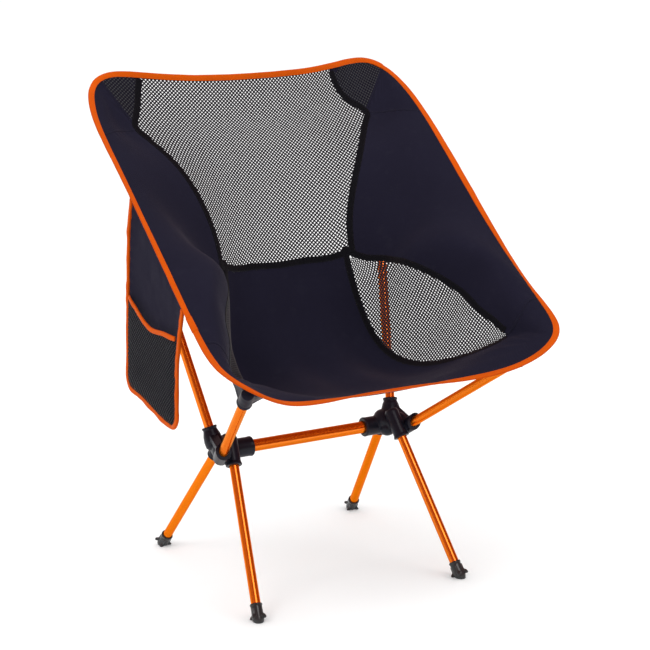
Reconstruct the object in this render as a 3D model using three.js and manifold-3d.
// Ultralight packable camp chair: two moulded hubs on a crossbar, shock-corded
// aluminium poles, and a fabric and mesh sling hung from the four pole tips.
// Millimetres, +Z up. The sitter faces -Y; "left" is the sitter's left, +X.
// The origin is on the floor, under the middle of the chair.
import * as THREE from "three";
import * as BufferGeometryUtils from "three/addons/utils/BufferGeometryUtils.js";
import Module from "manifold-3d";

const wasm = await Module();
wasm.setup();

// ---------------------------------------------------------- frame dimensions
const Y_SHIFT = 26.834; // moves the foot-centred layout so the chair is centred front to back
const GAP = 0.3; // running gap between neighbouring pieces

const POLE_R = 6.25;
const POLE_BORE_R = 5.3;
const BAR_R = 8.2; // crossbar tube
const BAR_BORE_R = 7.0;
const CORD_R = 1.5; // elastic shock cord
const CORD_SEGMENTS = 8;
const FERRULE_R = 5.0; // inner ferrule of the two-part rear pole
const FERRULE_BORE_R = 4.2;
const FERRULE_LEN = 50;
const POST_SPLIT = 0.5; // where the rear pole's sections meet, as a share of its length

// How far each cord runs past the hub.
const LEG_CORD_SHARE = 0.55; // of the leg's length
const ARM_CORD_SHARE = 0.5; // of the arm's length
const POST_CORD_PAST_SPLIT = 90;

const SOCKET_R = 6.55; // pole bores in the hubs and caps
const SOCKET_DEPTH = 24;
const POLE_START = GAP - SOCKET_DEPTH; // inner end of a pole, measured from its socket mouth
const BAR_SOCKET_R = 8.5;
const BAR_SOCKET_DEPTH = 27;
const SLEEVE_R = 9.9; // hub sleeve around a pole
const BAR_SLEEVE_R = 12.2; // hub sleeve around the crossbar
const SLEEVE_CHAMFER = 2; // at the closed end of a sleeve
const COLLAR = 1.1; // height of the bead around each socket mouth
const COLLAR_LEN = 5.2;
const COLLAR_CHAMFER = 1;
const SOCKET_CUT_PAST = 30; // how far the socket cutters run out of the mouths

const CAP_LEN = 23; // foot cap length along its leg
const CAP_TOP_R = 8.3;
const CAP_FOOT_R = 10.6;
const TOE_R = 4.1;
const TOE_INSET = 3.2; // toe centres, in from the cap's radius and back from the foot
const FOOT_TUBE_SHORT = 5.5; // a leg tube stops this far before the foot

const TIP_CAP_R = 7.1; // plastic cap on a pole tip
const TIP_CAP_LEN = 15;
const TIP_CAP_END = 2.6; // solid end of the cap
const TIP_TUBE_SHORT = 3.0; // a tube stops this far before the end of its tip cap
const TIP_POCKET_R = 7.6; // inside radius of the cloth pocket around a pole tip
const TIP_POCKET_WALL = 0.9;
const TIP_POCKET_LEN = 40;
const TIP_POCKET_PAST = 2.2; // how far the pocket's closed end lies past the tip cap

// Frame axis points of the +X side, before Y_SHIFT: socket mouth in the hub, free end.
const POST = strut([138.0, 17.3, 208.2], [208.0, 199.2, 642.2]); // rear pole
const ARM = strut([145.4, -41.3, 190.5], [201.4, -232.7, 327.6]);
const FRONT_LEG = strut([126.8, -34.7, 167.5], [151.0, -151.8, 0.0]);
const REAR_LEG = strut([128.8, 33.5, 153.7], [152.0, 151.8, 0.0]);
const BAR = { mouth: 83.6, y: 13.0, z: 173.4 }; // mouth: x of its socket mouth
const BAR_DIR = new THREE.Vector3(1, 0, 0);

// Moulded body of the +X hub: two ellipsoids, centres before Y_SHIFT.
const HUB_BODY = { centre: [127, 4, 181], radii: [12.5, 24, 17], tilt: 0.15, segments: [14, 8] };
const HUB_CHEEK = { centre: [137, -14, 182], radii: [9, 15, 14], tilt: 0, segments: [10, 6] };

// ---------------------------------------------------------- sling dimensions
const CLOTH = 1.2; // panel thickness
const TAPE = 1.6; // seam tape thickness
const TAPE_HALF = 4.2; // half width of the seam tapes
const BIND_HALF = 4.6; // half width of the edge binding
const BIND_THICK = 3.4;
const BIND_ROUNDING = 0.6; // power on the section's sine and cosine; 1 is an ellipse
const EDGE_GAP = BIND_HALF + 0.5; // panels stop this far inside the outline
const TAPE_MID = TAPE_HALF + 0.8; // tape middle, out from a mesh panel's edge
const PAST_TAPE = 2 * TAPE_MID; // cloth edge, out from a mesh panel's edge
const CORNER_BULGE = 0.022; // how far, in v, cloth edges bow at the front corner seam

// Sling surface: control net [x, y, z] of the +X half, before Y_SHIFT; the other half
// is its mirror image. One row per step in u, from the middle line to the side edge;
// along a row, v runs from the top edge to the front edge.
const SLING_NET = [
  [
    [0, 169.9, 644.5], [0, 159.3, 589.3], [0, 150.8, 579.1], [0, 132.2, 532],
    [0, 98.5, 443.8], [0, 81, 372.7], [0, 14.3, 267.2], [0, -78, 265.8],
    [0, -135.3, 269.7], [0, -181.2, 286.3], [0, -207.4, 292.4], [0, -219.9, 300.2],
  ],
  [
    [64.1, 166.8, 644.4], [61.8, 158.7, 592.8], [56.1, 149.7, 580.3], [47.4, 129.8, 534.4],
    [35.3, 93.5, 447.8], [33.2, 77.2, 376.1], [33, 10.3, 281.2], [40.4, -85.4, 279.2],
    [43.5, -138.6, 275], [52.4, -188, 287.1], [61.3, -211.2, 295.3], [62.3, -220, 301.1],
  ],
  [
    [146.6, 182.7, 651.1], [135.8, 164.3, 598.5], [116, 152.3, 581], [90.3, 116.3, 537.1],
    [57.3, 87.1, 446.7], [65.4, 67.3, 370.9], [78.2, 18, 268.5], [80.9, -72.5, 264],
    [97.7, -132.1, 276.2], [124.8, -179.7, 302.4], [136.8, -205, 313.7], [128.2, -234, 303.7],
  ],
  [
    [216.7, 201.4, 659.6], [197.9, 162.1, 613.3], [171.5, 156.9, 582.3], [130.5, 93.3, 542.8],
    [82.7, 77.2, 448.6], [96.5, 46.1, 370.5], [119, 21, 270.3], [121.1, -56.9, 260.5],
    [147.3, -122.1, 290.3], [195.4, -165.8, 327.9], [203.3, -201.8, 345.3],
    [182.1, -255.6, 322.1],
  ],
  [
    [227.8, 198.4, 660.2], [212.6, 161.2, 629.2], [208.2, 155, 585.6], [166.6, 82.6, 554.6],
    [155.4, 48.5, 477.2], [127.1, 17.2, 400.2], [113.5, -27.4, 391.9], [172.9, -99.9, 375],
    [166, -127.9, 347.3], [215, -187.3, 336], [216.8, -242.7, 355.9], [209.2, -260.2, 339.9],
  ],
  [
    [223.9, 214.2, 657], [217.3, 164.6, 638.7], [221.9, 139, 598.1], [200.3, 77.7, 563.4],
    [197.8, 29.4, 505.5], [163.7, -12.7, 451.1], [144.7, -68.9, 460.3], [194.1, -129.5, 438.3],
    [189.5, -154.6, 388.7], [216.5, -210.2, 352.6], [218.1, -261.8, 351.1],
    [225.1, -272.7, 324.8],
  ],
  [
    [230.3, 209.8, 659.4], [231.3, 169.7, 634.2], [231.3, 129, 604.8], [223.8, 76, 568.5],
    [218, 21.5, 521.3], [201.5, -31.6, 479.6], [193.6, -89.1, 460.3], [211, -142.3, 431.5],
    [216.6, -176, 394], [228, -221.4, 360.5], [231.5, -261.3, 346.5], [233.7, -277.5, 329.9],
  ],
  [
    [243, 208, 660], [241.8, 173.4, 634.7], [238.9, 127.7, 604.1], [239.4, 77.9, 570.4],
    [238, 17.6, 526.7], [236.9, -40.9, 482.7], [235.7, -100.3, 438.7], [237, -156.8, 400.8],
    [238.1, -184.8, 384.2], [238.4, -230, 358.9], [243.3, -264.3, 346.9], [241, -273, 341],
  ],
];

// The +X half of the sling's outline, from top middle to front middle: B-spline
// control points [x, y, z] before Y_SHIFT, then the same line as points [u, v].
const EDGE_NET = [
  [0, 167.9, 644.5], [84.4, 167.9, 644.5], [150.7, 184, 652.8], [197.4, 197.6, 656.7],
  [225.5, 183.8, 643], [240.4, 136.9, 610], [238.9, 64, 561.2], [237.5, -20, 498.4],
  [235.4, -103.5, 436.1], [237.5, -175.8, 388.1], [239.7, -228.6, 360.8],
  [217.6, -257.6, 344.7], [180, -255.8, 321.3], [130, -234.2, 303.7],
  [67.2, -219.8, 300.6], [0, -219.8, 300.6],
];
const EDGE_UV = [
  [0, 0.0001], [0.1676, 0], [0.2622, 0.0003], [0.3235, 0], [0.3717, 0],
  [0.4132, 0.0004], [0.4531, 0.0022], [0.4982, 0.0058], [0.5671, 0.0122], [0.8125, 0.0289],
  [0.9104, 0.0450], [0.9534, 0.0668], [0.9813, 0.0967], [0.9966, 0.1350], [1, 0.1810],
  [1, 0.2308], [0.9999, 0.2802], [1, 0.3299], [1, 0.3808], [1, 0.4322],
  [1, 0.4829], [1, 0.5326], [0.9999, 0.5815], [0.9999, 0.6313], [0.9998, 0.6881],
  [1, 0.7543], [0.9999, 0.8092], [0.9948, 0.8526], [0.9759, 0.8903], [0.9343, 0.9218],
  [0.8496, 0.9477], [0.6953, 0.9820], [0.6179, 0.9953], [0.5517, 0.9988], [0.4918, 0.9998],
  [0.4363, 1], [0.3799, 1], [0.3185, 0.9999], [0.2458, 0.9997], [0.1465, 1],
  [0, 0.9997],
];

// Seam lines of the +X half, as points [u, v].
const SEAM_U = 0.5; // straight lower part of the back mesh's side
const SEAM_V = [0.13, 0.385]; // its top and bottom
const MESH_SIDE_TOP = [
  [0.33, 0], [0.345, 0.024], [0.385, 0.05], [0.435, 0.078], [0.499, 0.1], [0.503, 0.112],
];
const DIAGONAL = [[0.566, 0.011], [0.548, 0.03], [0.525, 0.051], [0.512, 0.077], [0.509, 0.104]];
const STITCHING = [[0.509, 0.104], [0.6, 0.117], [0.727, 0.128], [0.92, 0.15], [1.0, 0.163]];
// Leaf-shaped side mesh: its edge next to the wing and its edge next to the seat.
const LEAF_WING_SIDE = [
  [0.505, 0.402], [0.56, 0.42], [0.648, 0.455], [0.695, 0.505], [0.71, 0.56],
  [0.708, 0.61], [0.702, 0.664], [0.704, 0.754], [0.694, 0.815], [0.614, 0.877],
];
const LEAF_SEAT_SIDE = [
  [0.502, 0.404], [0.5, 0.45], [0.5, 0.5], [0.5, 0.6], [0.5, 0.7],
  [0.5, 0.8], [0.503, 0.845], [0.53, 0.87], [0.614, 0.877],
];
// Bottom edge of the back mesh: v at u.
const lumbarV = (u) => 0.398 - 0.013 * (u / 0.49) * (u / 0.49);

// ------------------------------------------------------ side pocket dimensions
// The pocket hangs in the plane x = -POCKET_X. Outline points [y, z], before Y_SHIFT.
const POCKET_X = 238.6;
const POCKET_REAR = [[18.5, 520.4], [30.8, 466.2], [38.2, 386.8], [42.6, 326.3], [46.0, 282.0]];
const POCKET_BOTTOM = [
  [42.0, 272.5], [26.0, 269.6], [-12.9, 267.3], [-31.8, 260.6],
  [-50.4, 253.5], [-72.3, 252.1], [-94.0, 254.0], [-104.5, 258.5],
];
const POCKET_FRONT = [
  [-132.2, 411.0], [-122.8, 375.7], [-115.3, 345.2], [-110.4, 298.4], [-109.4, 268.0],
];
const POCKET_MOUTH = [
  [32.0, 392.2], [8.7, 384.1], [-10.2, 375.3], [-25.8, 369.8],
  [-41.5, 366.9], [-60.3, 367.4], [-82.0, 369.9], [-112.1, 370.7],
];
const POCKET_BIND_HALF = 2.9; // half width of the pocket's edge binding
const MOUTH_BIND = { half: 2.4, thick: 2.0, out: 2.0 }; // out: away from the pocket plane
const POCKET_BACK_IN = 2.7; // back panel, in from the pocket plane
const POCKET_MESH = { thick: 1.0, out: 0.75, bulge: 2.7 };
// Panel limits: margin at each side as a share of the width, top and bottom as
// shares of the height.
const BACK_LIMITS = { margin: 0.045, top: 0.012, bottom: 0.955 };
const MESH_LIMITS = { margin: 0.065, top: 0.035, bottom: 0.92 };

// ----------------------------------------------------------------- materials
const paint = (settings) => () => new THREE.MeshStandardMaterial(settings);
const ANODISED = paint({ color: 0xe0600c, roughness: 0.32, metalness: 0.85 });
const MOULDED = paint({ color: 0x202024, roughness: 0.55, metalness: 0 });
const CAPS = paint({ color: 0x33373b, roughness: 0.35, metalness: 0 });
const ALLOY = paint({ color: 0xb4b6b8, roughness: 0.35, metalness: 0.9 });
const CORD = paint({ color: 0x1a1a1c, roughness: 0.85, metalness: 0 });
const OXFORD = paint({ color: 0x211f2c, roughness: 0.8, metalness: 0 });
const NETTING = paint({ color: 0x25252c, roughness: 0.85, metalness: 0 });
const WEBBING = paint({ color: 0x17171c, roughness: 0.75, metalness: 0 });
const PIPING = paint({ color: 0xe45c08, roughness: 0.7, metalness: 0 });
const LINING = paint({ color: 0x1c1b24, roughness: 0.5, metalness: 0 });

// ------------------------------------------------------------- adding pieces
const root = new THREE.Group();

function put(name, geometry, material) {
  const skin = welded(geometry);
  skin.computeVertexNormals();
  const mesh = new THREE.Mesh(skin, material());
  mesh.name = name;
  root.add(mesh);
}
// The same piece on both sides of the chair, +X first.
function pair(name, geometry, material) {
  put(`${name}_left`, geometry, material);
  put(`${name}_right`, geometry.clone().scale(-1, 1, 1), material);
}
// A copy with shared corners and its faces turned outwards.
function welded(geometry) {
  const bare = geometry.clone();
  bare.deleteAttribute("uv");
  bare.deleteAttribute("normal");
  const merged = BufferGeometryUtils.mergeVertices(bare, 1e-5);
  if (signedVolume(merged) < 0) flip(merged);
  return merged;
}
function flip(geometry) {
  const index = geometry.getIndex().array;
  for (let i = 0; i < index.length; i += 3) {
    [index[i], index[i + 1]] = [index[i + 1], index[i]];
  }
}
function signedVolume(geometry) {
  const index = geometry.getIndex().array;
  const corners = [0, 1, 2].map(() => new THREE.Vector3());
  let sum = 0;
  for (let i = 0; i < index.length; i += 3) {
    corners.forEach((corner, k) => {
      corner.fromBufferAttribute(geometry.attributes.position, index[i + k]);
    });
    sum += corners[0].dot(corners[1].cross(corners[2]));
  }
  return sum / 6;
}

// ----------------------------------------------------- turned and solid shapes
function place([x, y, z]) {
  return new THREE.Vector3(x, y + Y_SHIFT, z);
}
function strut(hub, tip) {
  const start = place(hub);
  const end = place(tip);
  return { start, end, dir: end.clone().sub(start).normalize(), length: start.distanceTo(end) };
}
// Moves a geometry made along +Y from the origin to start, pointing along dir.
function aim(geometry, start, dir) {
  const turn = new THREE.Quaternion().setFromUnitVectors(new THREE.Vector3(0, 1, 0), dir);
  return geometry.applyQuaternion(turn).translate(start.x, start.y, start.z);
}
// In these three, distances run along dir from start.
function rod(start, dir, from, to, radius, segments = 16) {
  const cylinder = new THREE.CylinderGeometry(radius, radius, to - from, segments);
  return aim(cylinder.translate(0, (from + to) / 2, 0), start, dir);
}
// Profile points are [radius, distance].
function turned(start, dir, profile, segments) {
  const points = profile.map(([radius, distance]) => new THREE.Vector2(radius, distance));
  return aim(new THREE.LatheGeometry(points, segments), start, dir);
}
function pipe(start, dir, from, to, outer, bore) {
  const profile = [[bore, from], [outer, from], [outer, to], [bore, to], [bore, from]];
  return turned(start, dir, profile, 16);
}
function solid(geometry) {
  const skin = welded(geometry);
  const index = skin.getIndex().array;
  // drop the slivers that a lathe leaves on its axis
  const triangles = [];
  for (let i = 0; i < index.length; i += 3) {
    const [a, b, c] = [index[i], index[i + 1], index[i + 2]];
    if (a !== b && b !== c && a !== c) triangles.push(a, b, c);
  }
  return new wasm.Manifold(new wasm.Mesh({
    numProp: 3,
    vertProperties: new Float32Array(skin.attributes.position.array),
    triVerts: new Uint32Array(triangles),
  }));
}
// The union of some geometries, less each of the cutters.
function carve(parts, cutters) {
  const whole = parts.map(solid).reduce((a, b) => a.add(b));
  const mesh = cutters.reduce((body, cutter) => body.subtract(solid(cutter)), whole).getMesh();
  const geometry = new THREE.BufferGeometry();
  const positions = new Float32Array(mesh.vertProperties);
  geometry.setAttribute("position", new THREE.BufferAttribute(positions, 3));
  geometry.setIndex(Array.from(mesh.triVerts));
  return geometry;
}

// ------------------------------------------------------------ lines and grids
const mix = (a, b, f) => [a[0] + (b[0] - a[0]) * f, a[1] + (b[1] - a[1]) * f];

// The stretch of a polyline that holds t = 0..1 (by point index), and the share along it.
function stretchAt(line, t) {
  const x = Math.min(Math.max(t, 0), 1) * (line.length - 1);
  const i = Math.min(Math.floor(x), line.length - 2);
  return [line[i], line[i + 1], x - i];
}
function along(line, t) {
  return mix(...stretchAt(line, t));
}
function alongSpace(line, t) {
  const [a, b, share] = stretchAt(line, t);
  return a.clone().lerp(b, share);
}
// A smooth (u, v) line through the points, resampled in n equal steps.
function smooth(line, n) {
  const points = line.map(([u, v]) => new THREE.Vector3(u, v, 0));
  const curve = new THREE.CatmullRomCurve3(points, false, "centripetal");
  curve.arcLengthDivisions = 400;
  return curve.getSpacedPoints(n).map((q) => [q.x, q.y]);
}
// v at u on a line that starts near u = 0. Past its far end the first stretch is extended.
function heightOn(line, u) {
  const next = Math.max(line.findIndex((q) => q[0] >= u), 1);
  const [a, b] = [line[next - 1], line[next]];
  return a[1] + ((b[1] - a[1]) * (u - a[0])) / Math.max(b[0] - a[0], 1e-9);
}
// A closed slab on a box grid: pointAt(s, t, depth), with depth -0.5..0.5 across it.
function slab(columns, rows, pointAt) {
  const geometry = new THREE.BoxGeometry(1, 1, 1, columns, rows, 1);
  const p = geometry.attributes.position;
  for (let i = 0; i < p.count; i++) {
    const q = pointAt(p.getX(i) + 0.5, p.getY(i) + 0.5, p.getZ(i));
    p.setXYZ(i, q.x, q.y, q.z);
  }
  return geometry;
}

// --------------------------------------------------------- sling surface maths
// Cubic B-spline on a clamped uniform knot row with count control points:
// the first control point in play at t, and the weights of the four from there.
function splineWeights(count, t) {
  const spans = count - 3;
  const x = Math.min(Math.max(t, 0), 1 - 1e-9) * spans;
  const first = Math.floor(x);
  const knot = (i) => Math.min(Math.max(i - 3, 0), spans);
  const weights = [1, 0, 0, 0];
  const left = [0, 0, 0, 0];
  const right = [0, 0, 0, 0];
  for (let j = 1; j <= 3; j++) {
    left[j] = x - knot(first + 4 - j);
    right[j] = knot(first + 3 + j) - x;
    let saved = 0;
    for (let i = 0; i < j; i++) {
      const part = weights[i] / (right[i + 1] + left[j - i]);
      weights[i] = saved + right[i + 1] * part;
      saved = left[j - i] * part;
    }
    weights[j] = saved;
  }
  return [first, weights];
}
const NET_U = 2 * SLING_NET.length - 1;
const NET_V = SLING_NET[0].length;
function netPoint(i, j) {
  const row = i - (SLING_NET.length - 1);
  const [x, y, z] = SLING_NET[Math.abs(row)][j];
  return place([row < 0 ? -x : x, y, z]);
}
// The sling at u = -1..1 (right edge to left edge), v = 0..1 (top to front).
function surface(u, v) {
  const [firstU, weightsU] = splineWeights(NET_U, (u + 1) / 2);
  const [firstV, weightsV] = splineWeights(NET_V, v);
  const out = new THREE.Vector3();
  for (let i = 0; i < 4; i++) {
    for (let j = 0; j < 4; j++) {
      out.addScaledVector(netPoint(firstU + i, firstV + j), weightsU[i] * weightsV[j]);
    }
  }
  return out;
}
// Rates of change along u and v, and the normal towards the sitter.
function frameAt(u, v) {
  const e = 2e-3;
  const uc = Math.min(Math.max(u, -1 + e), 1 - e);
  const vc = Math.min(Math.max(v, e), 1 - e);
  const alongU = surface(uc + e, vc).sub(surface(uc - e, vc)).multiplyScalar(0.5 / e);
  const alongV = surface(uc, vc + e).sub(surface(uc, vc - e)).multiplyScalar(0.5 / e);
  const normal = new THREE.Vector3().crossVectors(alongV, alongU).normalize();
  return { alongU, alongV, normal };
}
// The (u, v) whose surface point is nearest to target, starting from a guess.
function nearest(u, v, target) {
  for (let k = 0; k < 6; k++) {
    const { alongU, alongV } = frameAt(u, v);
    const miss = target.clone().sub(surface(u, v));
    const uu = alongU.dot(alongU);
    const uv = alongU.dot(alongV);
    const vv = alongV.dot(alongV);
    const det = uu * vv - uv * uv;
    const missU = alongU.dot(miss);
    const missV = alongV.dot(miss);
    u = Math.min(Math.max(u + (vv * missU - uv * missV) / det, -1), 1);
    v = Math.min(Math.max(v + (uu * missV - uv * missU) / det, 0), 1);
  }
  return [u, v];
}
// A (u, v) line moved sideways over the surface by some millimetres. Positive is
// towards +u for a line running to +v, and towards -v for a line running to +u.
function shifted(line, distance) {
  return line.map(([u, v], i) => {
    const before = line[Math.max(i - 1, 0)];
    const after = line[Math.min(i + 1, line.length - 1)];
    const { alongU, alongV, normal } = frameAt(u, v);
    const travel = alongU.clone().multiplyScalar(after[0] - before[0])
      .addScaledVector(alongV, after[1] - before[1]).normalize();
    const side = new THREE.Vector3().crossVectors(normal, travel).normalize();
    return nearest(u, v, surface(u, v).addScaledVector(side, distance));
  });
}
function edgePoint(t) {
  const [first, weights] = splineWeights(EDGE_NET.length, t);
  const out = new THREE.Vector3();
  weights.forEach((weight, i) => out.addScaledVector(place(EDGE_NET[first + i]), weight));
  return out;
}
// The outline at t = 0 (top middle) .. 1 (front middle).
function edgeFrame(t) {
  const [u, v] = along(EDGE_UV, t);
  const point = edgePoint(t);
  const tangent = edgePoint(Math.min(t + 0.004, 1)).sub(edgePoint(Math.max(t - 0.004, 0)))
    .normalize();
  const inward = new THREE.Vector3().crossVectors(tangent, frameAt(u, v).normal).normalize();
  const normal = new THREE.Vector3().crossVectors(inward, tangent).normalize();
  return { point, inward, normal, u, v };
}
// The outline from t0 to t1 moved inwards by some millimetres, as (u, v).
function inset(t0, t1, distance, n) {
  return Array.from({ length: n + 1 }, (_, i) => {
    const { point, inward, u, v } = edgeFrame(t0 + ((t1 - t0) * i) / n);
    return nearest(u, v, point.addScaledVector(inward, distance));
  });
}
// A sheet on the sling: uvAt(s, t) gives its (u, v).
function sheet(columns, rows, thick, uvAt) {
  return slab(columns, rows, (s, t, depth) => {
    const [u, v] = uvAt(s, t);
    return surface(u, v).addScaledVector(frameAt(u, v).normal, depth * thick);
  });
}
// A flat seam tape centred on a (u, v) line.
function tape(line, n) {
  const a = shifted(line, -TAPE_HALF);
  const b = shifted(line, TAPE_HALF);
  return sheet(n, 1, TAPE, (s, t) => mix(along(a, s), along(b, s), t));
}

// ------------------------------------------------------------------ the frame
function ellipsoid({ centre, radii, tilt, segments }) {
  const { x, y, z } = place(centre);
  return new THREE.SphereGeometry(1, ...segments).scale(...radii).rotateX(tilt).translate(x, y, z);
}
// tail: solid length behind the socket.
const poleSleeve = ({ start, dir }, tail) => (
  { mouth: start, dir, radius: SLEEVE_R, bore: SOCKET_R, depth: SOCKET_DEPTH, tail }
);
function hub() {
  const sleeves = [
    poleSleeve(POST, 5),
    poleSleeve(ARM, 4),
    poleSleeve(FRONT_LEG, 5),
    poleSleeve(REAR_LEG, 5),
    {
      mouth: place([BAR.mouth, BAR.y, BAR.z]),
      dir: BAR_DIR.clone().negate(),
      radius: BAR_SLEEVE_R,
      bore: BAR_SOCKET_R,
      depth: BAR_SOCKET_DEPTH,
      tail: 6,
    },
  ];
  const shells = sleeves.map(({ mouth, dir, radius, depth, tail }) => {
    const back = -depth - tail;
    return turned(mouth, dir, [
      [0, back], [radius - SLEEVE_CHAMFER, back], [radius, back + SLEEVE_CHAMFER],
      [radius, -COLLAR_LEN - COLLAR_CHAMFER], [radius + COLLAR, -COLLAR_LEN],
      [radius + COLLAR, 0], [0, 0],
    ], 16);
  });
  const sockets = sleeves.map(({ mouth, dir, depth, bore }) => (
    rod(mouth, dir, -depth, SOCKET_CUT_PAST, bore)
  ));
  return carve([...shells, ellipsoid(HUB_BODY), ellipsoid(HUB_CHEEK)], sockets);
}
function crossbar() {
  const half = BAR.mouth + BAR_SOCKET_DEPTH - GAP;
  return pipe(place([-half, BAR.y, BAR.z]), BAR_DIR, 0, 2 * half, BAR_R, BAR_BORE_R);
}
function poleTube({ start, dir }, from, to) {
  return pipe(start, dir, from, to, POLE_R, POLE_BORE_R);
}
function cord({ start, dir }, to) {
  return rod(start, dir, POLE_START, to, CORD_R, CORD_SEGMENTS);
}
// Moulded cap: a snug neck, four rounded toes and a flat sole on the floor.
function footCap({ end: foot, dir }) {
  const back = foot.clone().addScaledVector(dir, -CAP_LEN);
  const body = turned(back, dir, [
    [0, 0], [CAP_TOP_R - 0.6, 0], [CAP_TOP_R, 0.8], [CAP_TOP_R - 0.2, 8],
    [CAP_TOP_R - 0.5, 13], [CAP_FOOT_R - 0.8, 18.5], [CAP_FOOT_R - 1.6, CAP_LEN + 3],
    [CAP_FOOT_R - 4, CAP_LEN + 6], [0, CAP_LEN + 6],
  ], 14);
  const side = new THREE.Vector3(0, 0, 1).cross(dir).normalize();
  const other = new THREE.Vector3().crossVectors(dir, side).normalize();
  const ring = CAP_FOOT_R - TOE_INSET;
  const toes = [0, 1, 2, 3].map((k) => {
    const angle = (k + 0.5) * Math.PI / 2;
    const centre = back.clone().addScaledVector(dir, CAP_LEN - TOE_INSET)
      .addScaledVector(side, Math.cos(angle) * ring)
      .addScaledVector(other, Math.sin(angle) * ring);
    return new THREE.SphereGeometry(TOE_R, 8, 5).translate(centre.x, centre.y, centre.z);
  });
  const bore = rod(back, dir, -5, CAP_LEN - FOOT_TUBE_SHORT + GAP, SOCKET_R);
  const belowFloor = new THREE.BoxGeometry(80, 80, 40).translate(foot.x, foot.y, -20);
  return carve([body, ...toes], [bore, belowFloor]);
}
function tipCap({ end, dir }) {
  const start = end.clone().addScaledVector(dir, -TIP_CAP_LEN);
  const body = turned(start, dir, [
    [0, 0], [TIP_CAP_R - 0.4, 0], [TIP_CAP_R, 0.6], [TIP_CAP_R, TIP_CAP_LEN - 3.2],
    [TIP_CAP_R - 1.0, TIP_CAP_LEN - 1.2], [TIP_CAP_R - 3.2, TIP_CAP_LEN], [0, TIP_CAP_LEN],
  ], 14);
  return carve([body], [rod(start, dir, -4, TIP_CAP_LEN - TIP_CAP_END, SOCKET_R)]);
}
// Cloth pocket: closed over the tip, open where the pole goes in.
function tipPocket({ end, dir }) {
  const start = end.clone().addScaledVector(dir, TIP_POCKET_PAST - TIP_POCKET_LEN);
  const inside = TIP_POCKET_R;
  const outside = TIP_POCKET_R + TIP_POCKET_WALL;
  const length = TIP_POCKET_LEN;
  return turned(start, dir, [
    [0, length - 1.2], [inside - 3.0, length - 1.2], [inside, length - 4.4], [inside, 0],
    [outside, 0], [outside, length - 3.8], [inside - 2.4, length], [0, length],
  ], 14);
}

pair("hub", hub(), MOULDED);
put("crossbar", crossbar(), ANODISED);

for (const [name, leg] of [["front_leg", FRONT_LEG], ["rear_leg", REAR_LEG]]) {
  pair(`${name}_tube`, poleTube(leg, POLE_START, leg.length - FOOT_TUBE_SHORT), ANODISED);
  pair(`${name}_foot_cap`, footCap(leg), CAPS);
  pair(`${name}_cord`, cord(leg, leg.length * LEG_CORD_SHARE), CORD);
}

pair("arm_tube", poleTube(ARM, POLE_START, ARM.length - TIP_TUBE_SHORT), ANODISED);
pair("arm_tip_cap", tipCap(ARM), CAPS);
pair("arm_cord", cord(ARM, ARM.length * ARM_CORD_SHARE), CORD);
pair("front_tip_pocket", tipPocket(ARM), LINING);

const split = POST.length * POST_SPLIT;
const ferrule = pipe(
  POST.start, POST.dir, split - FERRULE_LEN / 2, split + FERRULE_LEN / 2,
  FERRULE_R, FERRULE_BORE_R,
);
pair("post_lower_tube", poleTube(POST, POLE_START, split), ANODISED);
pair("post_upper_tube", poleTube(POST, split + GAP, POST.length - TIP_TUBE_SHORT), ANODISED);
pair("post_ferrule", ferrule, ALLOY);
pair("post_tip_cap", tipCap(POST), CAPS);
pair("post_cord", cord(POST, split + POST_CORD_PAST_SPLIT), CORD);
pair("rear_tip_pocket", tipPocket(POST), LINING);

// ------------------------------------------------------------------ the sling
// Lines shared by neighbouring panels, all running from the top towards the front.
const seamDown = Array.from({ length: 13 }, (_, i) => (
  [SEAM_U, SEAM_V[0] + (SEAM_V[1] - SEAM_V[0]) * (i / 12)]
));
const meshSide = smooth([...MESH_SIDE_TOP, ...seamDown], 28);
const leafSeatSide = smooth(LEAF_SEAT_SIDE, 40).filter(([, v]) => v > 0.425);
const leafWingSide = smooth(LEAF_WING_SIDE, 40).filter(([u, v]) => u > 0.58 || v > 0.5);
const diagonal = smooth(DIAGONAL, 12);

// Folded tape bound round the sling's whole edge: one closed ring.
function edgeBinding() {
  const steps = 104;
  const around = 6;
  const geometry = new THREE.TorusGeometry(1, 0.3, around, steps);
  const rounded = (x) => Math.sign(x) * Math.pow(Math.abs(x), BIND_ROUNDING);
  for (let j = 0; j <= around; j++) {
    const angle = ((j % around) + 0.5) / around * 2 * Math.PI;
    const x = rounded(Math.cos(angle)) * BIND_HALF;
    const z = rounded(Math.sin(angle)) * BIND_THICK / 2;
    for (let i = 0; i <= steps; i++) {
      const turn = (i % steps) / steps; // 0..1 round the outline from the top middle
      const onLeft = turn <= 0.5;
      const { point, inward, normal } = edgeFrame(onLeft ? 2 * turn : 2 - 2 * turn);
      const q = point.addScaledVector(inward, x).addScaledVector(normal, z);
      const vertex = j * (steps + 1) + i;
      geometry.attributes.position.setXYZ(vertex, onLeft ? q.x : -q.x, q.y, q.z);
    }
  }
  return geometry;
}
function backMesh() {
  const top = inset(0, 0.12, EDGE_GAP, 40);
  const sideTop = meshSide[0][1];
  const sideLow = meshSide[meshSide.length - 1][1];
  return sheet(14, 12, CLOTH, (s, t) => {
    const [sideU, sideV] = along(meshSide, t);
    const u = (2 * s - 1) * sideU;
    const vTop = heightOn(top, Math.abs(u));
    return [u, vTop + (lumbarV(u) - vTop) * ((sideV - sideTop) / (sideLow - sideTop))];
  });
}
// Tape along the back mesh's side, from the top edge to the lumbar tape.
function meshSideTape() {
  const covered = meshSide.filter(([, v]) => v > 0.02 && v < 0.374);
  return tape(smooth(shifted(covered, TAPE_MID), 40), 16);
}
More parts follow.
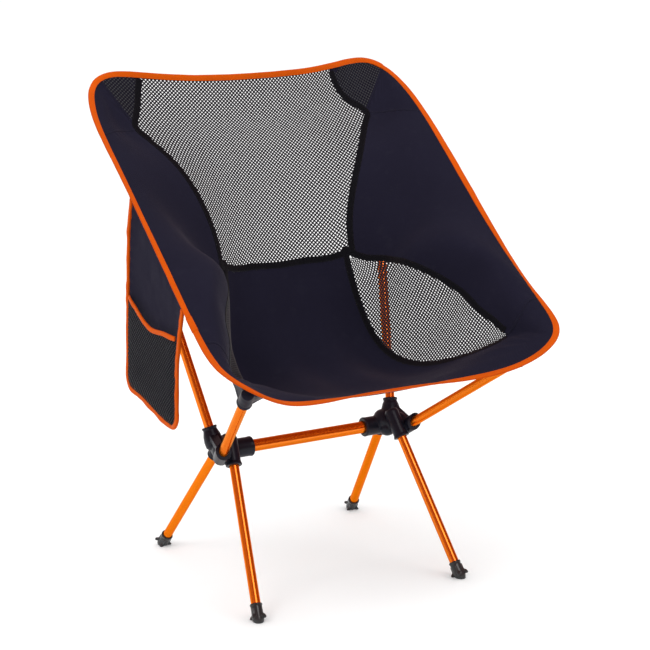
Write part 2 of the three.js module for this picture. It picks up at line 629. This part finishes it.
// Tape across the bottom of the back mesh.
function lumbarTape() {
  const line = Array.from({ length: 25 }, (_, i) => {
    const u = -0.535 + (1.07 * i) / 24;
    return [u, lumbarV(u)];
  });
  return tape(shifted(line, -TAPE_MID), 16);
}
// Mesh between the seat and the wing, stopping short of the leaf's front point.
function sideMesh() {
  const reach = 0.985;
  return sheet(4, 14, CLOTH, (s, t) => (
    mix(along(leafSeatSide, t * reach), along(leafWingSide, t * reach), s)
  ));
}
function seatSideTape() {
  return tape(smooth(shifted(leafSeatSide, -TAPE_MID), 40), 18);
}
function wingTape() {
  return tape(smooth(shifted(leafWingSide.slice(1, -4), TAPE_MID), 40), 14);
}
const cornerBulge = (s) => CORNER_BULGE * Math.sin(Math.PI * s);
// v just below the lumbar tape, at the middle one of three points on the mesh's bottom edge.
const belowLumbar = (line) => shifted(line, -PAST_TAPE)[1][1];
// From the lumbar tape to the front edge, widening past the side mesh into both
// front corners.
function seatPanel() {
  const side = smooth(shifted(leafSeatSide, -PAST_TAPE - 1.5), 24);
  const sideStart = belowLumbar([0.3, 0.46, 0.5].map((u) => [u, lumbarV(u)])) + 0.001;
  const middleStart = belowLumbar([-0.02, 0, 0.02].map((u) => [u, lumbarV(0)]));
  const rail = smooth([[side[0][0], sideStart], ...side.slice(2)], 30);
  const tip = rail[rail.length - 1];
  // front edge, from the middle to the end of the corner seam
  const front = smooth(inset(0.668, 1, EDGE_GAP + 0.4, 40).reverse(), 40);
  const railShare = 0.8; // rows up to here follow the rail, the rest fan out to the front
  return sheet(16, 15, CLOTH, (s, t) => {
    const x = 2 * s - 1;
    const out = Math.abs(x);
    if (t <= railShare) {
      const f = t / railShare;
      const [railU, railV] = along(rail, f);
      const middle = middleStart + (tip[1] - middleStart) * f;
      return [x * railU, middle + (railV - middle) * out * out];
    }
    const f = (t - railShare) / (1 - railShare);
    const [u, v] = mix([out * tip[0], tip[1]], along(front, out), f);
    return [Math.sign(x) * u, v + cornerBulge(f) * Math.pow(out, 6)];
  });
}
// Solid side panel, from the top corner stitching to the front corner seam.
function wingPanel() {
  const offset = PAST_TAPE + 0.7;
  const inner = smooth(
    [...shifted(seamDown, offset), ...shifted(leafWingSide.slice(3), offset)], 40,
  );
  const rail = smooth([[inner[0][0] + 0.004, 0.115], ...inner.slice(1, -1), [0.645, 0.866]], 30);
  const outer = smooth(inset(0.352, 0.634, EDGE_GAP, 40), 40);
  return sheet(7, 14, CLOTH, (s, t) => {
    const [u, v] = mix(along(rail, t), along(outer, t), s);
    return [u, v + cornerBulge(s) * Math.pow(t, 5)];
  });
}
// Mesh patch between the back mesh's tape and the corner panel.
function cornerMeshPatch() {
  const topEdge = inset(0, 0.24, EDGE_GAP, 60);
  const inner = smooth(shifted(meshSide.slice(1, 9), PAST_TAPE), 12);
  const outer = shifted(diagonal, -0.5);
  return sheet(4, 8, CLOTH, (s, t) => {
    const [u, v] = mix(along(inner, 0.72 * t), along(outer, 0.08 + 0.62 * t), s);
    return [u, Math.max(v, heightOn(topEdge, u) + 0.001)]; // stays inside the binding
  });
}
// Cloth corner over the rear pole's tip.
function cornerPanel() {
  const rim = smooth(inset(0.208, 0.336, EDGE_GAP, 30), 30);
  const bend = [
    ...diagonal.filter(([, v]) => v < 0.075),
    [0.55, 0.092],
    ...smooth(STITCHING, 16).filter(([u]) => u > 0.59),
  ];
  const low = smooth(shifted(bend, 0.6), 30);
  return sheet(12, 4, CLOTH, (s, t) => mix(along(rim, s), along(low, 0.07 + 0.86 * s), t));
}

put("edge_binding", edgeBinding(), PIPING);
put("back_mesh_panel", backMesh(), NETTING);
pair("mesh_side_tape", meshSideTape(), WEBBING);
put("lumbar_tape", lumbarTape(), WEBBING);
pair("side_mesh_panel", sideMesh(), NETTING);
pair("seat_side_tape", seatSideTape(), WEBBING);
pair("wing_tape", wingTape(), WEBBING);
put("seat_panel", seatPanel(), OXFORD);
pair("wing_panel", wingPanel(), OXFORD);
pair("corner_mesh_patch", cornerMeshPatch(), NETTING);
pair("corner_panel", cornerPanel(), OXFORD);

// ------------------------------------------------------------- the side pocket
// Hangs from the right-hand edge of the sling: a cloth back and a mesh front.
const curveThrough = (points) => new THREE.CatmullRomCurve3(points, false, "centripetal");
const pocketLine = (outline, n) => (
  curveThrough(outline.map(([y, z]) => place([0, y, z]))).getSpacedPoints(n)
);
// A slab whose thickness runs along X.
function flatSheet(columns, rows, thick, pointAt) {
  return slab(columns, rows, (s, t, depth) => {
    const q = pointAt(s, t);
    return q.setX(q.x + depth * thick);
  });
}
// Coons patch between four lines: s runs rear to front, t runs top to bottom.
function patch(top, bottom, rear, front) {
  return (s, t) => {
    const across = alongSpace(top, s).lerp(alongSpace(bottom, s), t);
    const down = alongSpace(rear, t).lerp(alongSpace(front, t), s);
    const topRow = alongSpace(top, 0).lerp(alongSpace(top, 1), s);
    const bottomRow = alongSpace(bottom, 0).lerp(alongSpace(bottom, 1), s);
    return across.add(down).sub(topRow.lerp(bottomRow, t));
  };
}
// The point of a patch at (s, t) of a panel kept within its limits.
function within(face, { margin, top, bottom }, s, t) {
  return face(margin + (1 - 2 * margin) * s, top + (bottom - top) * t);
}
// A flat band in the plane x, along a row of { point, tangent }.
function band(stations, half, thick, x) {
  const last = stations.length - 1;
  return flatSheet(last, 1, thick, (s, t) => {
    const { point, tangent } = stations[Math.round(s * last)];
    const side = new THREE.Vector3(0, -tangent.z, tangent.y);
    return point.clone().addScaledVector(side, (t - 0.5) * 2 * half).setX(x);
  });
}

const pocketRear = pocketLine(POCKET_REAR, 24);
const pocketFront = pocketLine(POCKET_FRONT, 24);
const pocketBottom = pocketLine([POCKET_REAR[4], ...POCKET_BOTTOM, POCKET_FRONT[4]], 24);
const pocketMouth = pocketLine(POCKET_MOUTH, 20);

function pocketBack() {
  const [rear, front] = [POCKET_REAR[0], POCKET_FRONT[0]];
  const top = pocketLine([rear, mix(rear, front, 0.5), front], 24);
  const face = patch(top, pocketBottom, pocketRear, pocketFront);
  return flatSheet(6, 10, CLOTH, (s, t) => (
    within(face, BACK_LIMITS, s, t).setX(-POCKET_X + POCKET_BACK_IN)
  ));
}
// Binding down the rear edge, round the bottom and up the front edge.
function pocketEdgeBinding() {
  const steps = 30;
  const up = pocketFront.slice().reverse();
  const rim = [...pocketRear, ...pocketBottom.slice(1), ...up.slice(1)];
  const path = curveThrough(rim.filter((_, i) => i % 3 === 0));
  const stations = Array.from({ length: steps + 1 }, (_, i) => (
    { point: path.getPointAt(i / steps), tangent: path.getTangentAt(i / steps) }
  ));
  return band(stations, POCKET_BIND_HALF, BIND_THICK, -POCKET_X);
}
// Binding along the mouth, stopping one step short of each end.
function pocketMouthBinding() {
  const stations = pocketMouth.slice(1, -1).map((point, i) => (
    { point, tangent: pocketMouth[i + 2].clone().sub(pocketMouth[i]).normalize() }
  ));
  return band(stations, MOUTH_BIND.half, MOUTH_BIND.thick, -POCKET_X - MOUTH_BIND.out);
}
// Mesh below the mouth, bulging away from the chair.
function pocketMeshFront() {
  const face = patch(pocketMouth, pocketBottom, pocketRear.slice(14), pocketFront.slice(8));
  return flatSheet(8, 8, POCKET_MESH.thick, (s, t) => {
    const rise = Math.pow(Math.sin(Math.PI * 0.92 * (1 - t)), 0.7);
    const bulge = POCKET_MESH.bulge * Math.sin(Math.PI * s) * rise;
    return within(face, MESH_LIMITS, s, t).setX(-POCKET_X - POCKET_MESH.out - bulge);
  });
}

put("pocket_back_panel", pocketBack(), OXFORD);
put("pocket_edge_binding", pocketEdgeBinding(), PIPING);
put("pocket_mouth_binding", pocketMouthBinding(), PIPING);
put("pocket_mesh_front", pocketMeshFront(), NETTING);

export default root;
